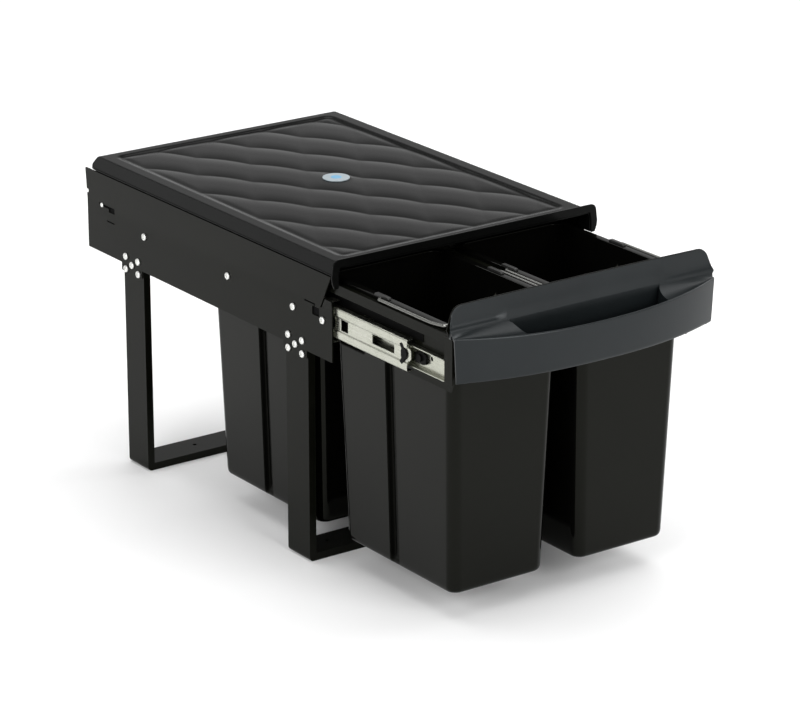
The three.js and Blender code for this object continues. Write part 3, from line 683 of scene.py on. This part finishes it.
ys = [-8.0, -6, -3, 0, 3, 6, 8.5] + list(np.linspace(9.8, 457.2, 225))
ys += [458.5, 461, 463, 464.6, 465.8]
rings = [lid_ring(y, False, 0) for y in ys]
for y, shrink in ((465.9, 0), (467.0, 0.12), (467.9, 0.45), (468.5, 0.9), (468.9, 1.5),
                  (LID_REAR, 2.2)):
    rings.append(lid_ring(y, True, shrink))
shell = loft(rings)

lip_outline = []
for k in range(11):
    ang = math.radians(90 - 82 * k / 10)
    lip_outline.append((163.6 + 7 * math.cos(ang), 344.7 + 7 * math.sin(ang)))
lip_outline += [(172.3, 333), (171.5, 327), (169.2, 321.2), (168.4, 320.6), (164.4, 320.6),
                (164, 321), (164, 333.4), (163.8, 334.6), (162.3, 342), (161.8, 343),
                (160.8, 343.4)]
full = lip_outline + [(-x, z) for x, z in lip_outline[::-1]]


def inset(outline, amount):
    """Moves a closed outline inwards along its normals."""
    pts = [Vector(p) for p in outline]
    area = sum(pts[i].x * pts[(i + 1) % len(pts)].y - pts[(i + 1) % len(pts)].x * pts[i].y
               for i in range(len(pts)))
    turn = 1 if area > 0 else -1
    out = []
    for i, p in enumerate(pts):
        d1 = (p - pts[i - 1]).normalized()
        d2 = (pts[(i + 1) % len(pts)] - p).normalized()
        n = Vector((-(d1.y + d2.y), d1.x + d2.x)).normalized() * turn
        out.append(tuple(p + n * amount))
    return out


def lip_rings():
    stations = [(-10.0, 0.55), (-9.93, 0.28), (-9.75, 0.08), (-9.45, 0), (-8.4, 0), (-7.9, 0.25),
                (-7.7, 0.7)]
    return [[(x, y, z) for x, z in inset(full, amount)] for y, amount in stations]


lip = loft(lip_rings())
clips = []
for y in (60, 230, 410):
    for sign in (-1, 1):
        box_ring = [(161.2, 336), (164.2, 336), (164.2, 314), (163.2, 312), (161.6, 312),
                    (161.2, 314)]
        clips.append(loft([[(sign * x, yy, z) for x, z in box_ring] for yy in (y - 15, y + 15)]))
returns = []
for sign in (-1, 1):
    # the lip's leg is folded back along the side, behind the panel's cut-away corner
    fold = [(-8.4, 321.5), (-8.4, 340), (14, 333), (14, 329), (6, 321.5)]
    returns.append(loft([[(sign * x, y, z) for y, z in fold] for x in (162.7, 164.2)]))
new_piece("lid_detail", *merge(shell, lip, *clips, *returns), "cabinet_frame", "lid_plastic",
          lid_black, 40, ("lid",))


def disc(radius, bottom, top, centre, sides=64, edge=0.35, crown=0.25):
    rings = []
    for r, z in ((radius - 0.1, bottom), (radius, bottom + 0.2), (radius, top - edge),
                 (radius - edge * 0.3, top - edge * 0.3), (radius - edge, top)):
        rings.append([(centre[0] + r * math.cos(2 * math.pi * k / sides),
                       centre[1] + r * math.sin(2 * math.pi * k / sides), z) for k in range(sides)])
    for k in range(1, 6):
        r = (radius - edge) * (1 - k / 6)
        rings.append([(centre[0] + r * math.cos(2 * math.pi * j / sides),
                       centre[1] + r * math.sin(2 * math.pi * j / sides),
                       top + crown * (1 - (1 - k / 6) ** 2)) for j in range(sides)])
    return loft(rings)


new_piece("lid_badge_rim", *disc(15, 345.6, 346.7, (badge_x, badge_y), crown=0.0), "cabinet_frame",
          "badge_plastic", badge_white, 40, ("lid_badge",))
new_piece("lid_badge_face", *disc(6.2, 346.4, 346.9, (badge_x, badge_y), crown=0.1),
          "cabinet_frame", "badge_plastic", badge_blue, 40)

# ---------------------------------------------------------------- handle panel
HANDLE_FRONT = node_box("handle_panel")[0][1]
POCKET_HALF, POCKET_STRAIGHT = 98, 91   # half widths of the pocket and of its straight part
POCKET_FLOOR, POCKET_UNDER, POCKET_REAR = 285, 282.4, -206.8
PLATE_HALF, PLATE_END, SKIRT_HALF = 168, 159.2, 165.8
DECK_REAR, DECK_RISE = -206.9, 328.4


def panel_half(z):
    """Half width of the plate and, below it, of the narrower skirt."""
    if z > 330:
        return PLATE_HALF - (z - 330) / 3
    if z > 326:
        return SKIRT_HALF + 2.2 * smoothstep((z - 326) / 4)
    return SKIRT_HALF - (326 - z) * 2.8 / 50


def bow(x):
    return HANDLE_FRONT + 26.5 * (abs(x) / 164) ** 2.4


def lip_height(x):
    return 318 + 5.5 * (abs(x) / 164) ** 2


def plate_top(x):
    edge = abs(x) - PLATE_END
    crown = 354 + 1 - (x / 160) ** 2
    if edge <= 0:
        return crown
    return 346 + math.sqrt(max(0, 64 - (edge * 8 / 8.8) ** 2))


def pocket_end(x):
    """How far forward the finger pocket's wall stands at x, from 0 at its rear to 1 at the lip."""
    w = abs(x)
    if w >= POCKET_HALF:
        return None
    if w <= POCKET_STRAIGHT:
        return 1.0
    s = (POCKET_HALF - w) / (POCKET_HALF - POCKET_STRAIGHT)
    return 1 - math.cos(math.asin(min(1, s)))


def handle_ring(x):
    """The handle panel's cross-section at x: plate, deck with its pocket, front skirt, inside."""
    top, front, lip_z = plate_top(x), bow(x), lip_height(x)
    rear = POCKET_REAR
    front_wall = bow(POCKET_STRAIGHT) + 3.6 if abs(x) > POCKET_STRAIGHT else front + 3.6
    end = pocket_end(x)
    deck_count = 26
    at_end = abs(x) > 157.3   # here the skirt is thin and has no wall behind it
    sheet = 1.3 if at_end else 2.9
    pts = [(-200.7, top - 0.9), (-200.8, top - 0.5), (-201.05, top - 0.3), (-201.4, top - 0.35),
           (-201.75, top - 0.65), (-201.95, top - 1.3), (-202.6, (top + 336) / 2)]
    wall = None if end is None else rear + (front_wall - rear) * end
    # above the pocket the plate runs straight down; beside it there is a ridge
    fade = smoothstep((113 - abs(x)) / 15)
    ridge = [(-203.4, 337), (-203.9, 334.6), (-204.6, 333.2), (-205.4, 332.2), (-206.0, 331.4),
             (-206.5, 330.4), (-206.8, 329.2)]
    smooth = [(-204.3, 338), (-205.0, 335.6), (-205.5, 333.8), (-205.9, 332.4), (-206.25, 331.2),
              (-206.5, 330.2), (-206.8, 329.2)]
    for (y0, z0), (y1, z1) in zip(ridge, smooth):
        pts.append((y0 + (y1 - y0) * fade, z0 + (z1 - z0) * fade))
    for k in range(deck_count):
        s = k / (deck_count - 1)
        y = DECK_REAR + (front + 2.4 - DECK_REAR) * s
        rise = lip_z - 0.5 + (DECK_RISE - lip_z) * (1 - s) ** 2.0
        if wall is None:
            z = rise
        elif end >= 1.0:
            z = POCKET_FLOOR + (lip_z - 0.5 - POCKET_FLOOR) * (1 - smoothstep((y - wall) / 2.2))
        else:
            z = rise + (POCKET_FLOOR - rise) * smoothstep((y - wall) / 2.6)
        if wall is not None and z < 300:
            z += 1.2 * max(0, 1 - (DECK_REAR - y) / 3.0)   # the floor curves up to the rear wall
        pts.append((y, z))
    pts += [(front + 1.6, lip_z), (front + 0.9, lip_z - 0.15), (front + 0.35, lip_z - 0.7),
            (front, lip_z - 1.9), (front, 300), (front + 0.1, 279.5), (front + 0.4, 277.4),
            (front + sheet * 0.4, 276.3), (front + sheet * 0.7, 276), (front + sheet - 0.1, 276.4),
            (front + sheet, 279), (front + sheet, 281)]
    under = lip_z - 3.6
    for s in (0.0, 0.25, 0.5, 0.75, 1.0):
        y = front + sheet + 0.1 + (-206.7 - front - sheet) * s
        z = under + (326 - under) * s ** 2
        if wall is not None and (end >= 1 or y > wall - 2.4):
            z = POCKET_UNDER
        pts.append((y, z))
    if at_end:
        pts += [(y, 325.4) for y in (-206.5, -206.3, -205.4, -204.6, -204.4)]
    else:
        pts += [(-206.6, 279), (-206.4, 276.4), (-205.4, 276), (-204.5, 276.4), (-204.3, 278)]
    pts += [(-204.3, 321.3), (-200.7, 321.3)]
    return [(x * panel_half(z) / PLATE_HALF, y, z) for y, z in pts]


half_xs = list(np.linspace(0, 88, 23)) + [89.5, 90.3, 90.7] + list(np.linspace(91.05, 97.9, 36))
half_xs += [98.1, 98.8, 100, 103] + list(np.linspace(107, 157, 20)) + [157.6, 159, 160.6]
half_xs += [162.2, 163.6, 164.8, 165.8, 166.6, 167.2, 167.7, 167.95, 168]
handle_xs = sorted(set([-v for v in half_xs] + half_xs))
new_piece("handle_panel_detail", *loft([handle_ring(x) for x in handle_xs]), "drawer",
          "handle_plastic", handle_black, 32, ("handle_panel",))

# the folded edge of the steel front, which follows the plate's outline behind it
rim_xs = [168 * math.sin(math.pi / 2 * k / 40) for k in range(-40, 41)]
rim_outline = [(x * panel_half(plate_top(x)) / 168, plate_top(x)) for x in rim_xs]
rim_outline += [(panel_half(z), z) for z in (340, 335, 331, 330, 326, 322)]
rim_outline = [(-panel_half(z), z) for z in (322, 326, 330, 331, 335, 340)] + rim_outline
rim_rings = []
for y, amount in ((-200.4, 0.25), (-200.3, 0.08), (-200.1, 0.0), (-199.3, 0.0), (-199.1, 0.08),
                  (-199.0, 0.25)):
    rim_rings.append([(x, y, z) for x, z in inset(rim_outline, amount)])
new_piece("handle_backing", *loft(rim_rings), "drawer", "black_steel", steel, 40)

# ---------------------------------------------------------------- bins
BIN_BOTTOM, BIN_TOP = 31.6, 326.0
BIN_HALF_X, BIN_HALF_Y, BIN_TAPER = 58.95, 95.7, 0.03
GROOVE_Y, GROOVE_HALF, GROOVE_DEEP = 5.0, 8.5, 5.0


def bin_ring(half_x, half_y, radius, z, groove, steps=8):
    pts = []
    profile = [(-1, 0), (-0.93, 0.12), (-0.84, 0.42), (-0.74, 0.76), (-0.62, 0.95), (-0.45, 1),
               (0.45, 1), (0.62, 0.95), (0.74, 0.76), (0.84, 0.42), (0.93, 0.12), (1, 0)]

    def groove_points(side):
        run = profile if side > 0 else profile[::-1]
        return [(side * (half_x - d * groove), GROOVE_Y + s * GROOVE_HALF, z) for s, d in run]

    for sx, sy, quarter in ((1, 1, 0), (-1, 1, 1), (-1, -1, 2), (1, -1, 3)):
        if sx < 0 and sy < 0:
            pts += groove_points(-1)
        for k in range(steps + 1):
            ang = (quarter + k / steps) * math.pi / 2
            pts.append((sx * (half_x - radius) + radius * math.cos(ang),
                        sy * (half_y - radius) + radius * math.sin(ang), z))
    pts += groove_points(1)
    return pts


def bin_skin():
    wall, height = 2.0, BIN_TOP - BIN_BOTTOM

    def ring(rise, inset_by, radius, groove):
        half_x = BIN_HALF_X + BIN_TAPER * rise - inset_by
        half_y = BIN_HALF_Y + BIN_TAPER * rise - inset_by
        return bin_ring(half_x, half_y, radius, BIN_BOTTOM + rise, groove)

    rings = [ring(0, 6, 8, 0), ring(0.15, 4.4, 9, 0.0), ring(0.7, 2.9, 10, 0.2),
             ring(1.7, 1.6, 11, 0.8), ring(3.1, 0.7, 11.6, 1.8), ring(5.2, 0.15, 12, 3.4),
             ring(8, 0, 12, 4.6), ring(12, 0, 12, GROOVE_DEEP)]
    for k in range(1, 12):
        rings.append(ring(12 + (height - 42) * k / 11, 0, 12, GROOVE_DEEP))
    rings += [ring(height - 26, 0, 12, 4.4), ring(height - 22, 0, 12, 2.4),
              ring(height - 19, 0, 12, 0.8), ring(height - 16, 0, 12, 0),
              ring(height - 4.6, 0, 12, 0), ring(height - 3.9, -0.3, 12.2, 0),
              ring(height - 3.7, -1.0, 12.6, 0), ring(height - 3.7, -5.4, 16.6, 0),
              ring(height - 3.5, -5.85, 17, 0), ring(height - 0.9, -5.9, 17, 0),
              ring(height - 0.3, -5.65, 16.8, 0), ring(height, -5.0, 16.2, 0),
              ring(height, 1.0, 11.2, 0), ring(height - 0.3, 1.7, 10.6, 0),
              ring(height - 1, 2, 10.5, 0), ring(height - 16, wall, 10.5, 0),
              ring(height - 19, wall, 10.5, 0.8), ring(height - 22, wall, 10.5, 2.4),
              ring(height - 26, wall, 10.5, 4.4), ring(height - 30, wall, 10.5, GROOVE_DEEP),
              ring(60, wall, 10.5, GROOVE_DEEP), ring(12, wall, 10.5, GROOVE_DEEP),
              ring(7, wall + 0.2, 10.2, 3.4), ring(4, wall + 1.2, 9.4, 1.8),
              ring(2.5, wall + 2.8, 8.6, 0.6), ring(2.05, wall + 5, 8, 0.0)]
    return loft(rings)


def lug(side):
    """The rim's lug for the bail, with a soft outline."""
    outline = []
    corners = ((20.5, 328.4, 0), (-3.5, 328.4, 1), (-3.5, 322.4, 2), (20.5, 322.4, 3))
    for y, z, quarter in corners:
        r = 2 if z > 325 else 0.4
        cy = y + (-r if y > 0 else r)
        cz = z + (-r if z > 325 else r)
        for k in range(5):
            ang = (quarter + k / 4) * math.pi / 2
            outline.append((cy + r * math.cos(ang), cz + r * math.sin(ang)))
    rings = []
    for x, amount in ((69.0, 0.6), (69.15, 0.2), (69.5, 0), (72.9, 0), (73.25, 0.2), (73.4, 0.6)):
        rings.append([(side * x, y, z) for y, z in inset(outline, amount)])
    return loft(rings)


bin_shape, lug_shape = bin_skin(), merge(lug(-1), lug(1))

# the folded bail: its reach and half width, its pivot and how steeply it lies
BAIL_REACH, BAIL_SIDE, BAIL_Y, BAIL_Z = 114.0, 77.2, 8.3, 324.9
BAIL_SLOPE = math.radians(1.7)


def bail_point(x, along, sag=0.0):
    return (x, BAIL_Y - along * math.cos(BAIL_SLOPE),
            BAIL_Z + along * math.sin(BAIL_SLOPE) - sag)


bail_path = rounded_corners(
    [bail_point(-69.4, 0), bail_point(-BAIL_SIDE, 0), bail_point(-BAIL_SIDE, 92, 2.4),
     bail_point(-BAIL_SIDE, BAIL_REACH), bail_point(BAIL_SIDE, BAIL_REACH),
     bail_point(BAIL_SIDE, 92, 2.4), bail_point(BAIL_SIDE, 0), bail_point(69.4, 0)],
    (3, 10, 5, 5, 10, 3), 8)
bail_shape = sweep(bail_path, 1.75, 16)
for end in ("front", "rear"):
    for side, sign in (("left", -1), ("right", 1)):
        low, high = node_box(f"bin_{end}_{side}")
        cx, cy = (low[0] + high[0]) / 2, (low[1] + high[1]) / 2
        new_piece(f"bin_{end}_{side}_detail", *moved(bin_shape, cx, cy, 0),
                  f"bin_{end}_{side}_body", "bin_plastic", bin_black, 40, (f"bin_{end}_{side}",))
        new_piece(f"bin_lugs_{end}_{side}", *moved(lug_shape, cx, cy, 0),
                  f"bin_{end}_{side}_body", "bin_plastic", lug_grey, 40)
        new_piece(f"bail_{end}_{side}_detail", *moved(bail_shape, cx, cy, 0),
                  f"bail_{end}_{side}_body", "bail_wire", bright_wire, 60, (f"bail_{end}_{side}",))
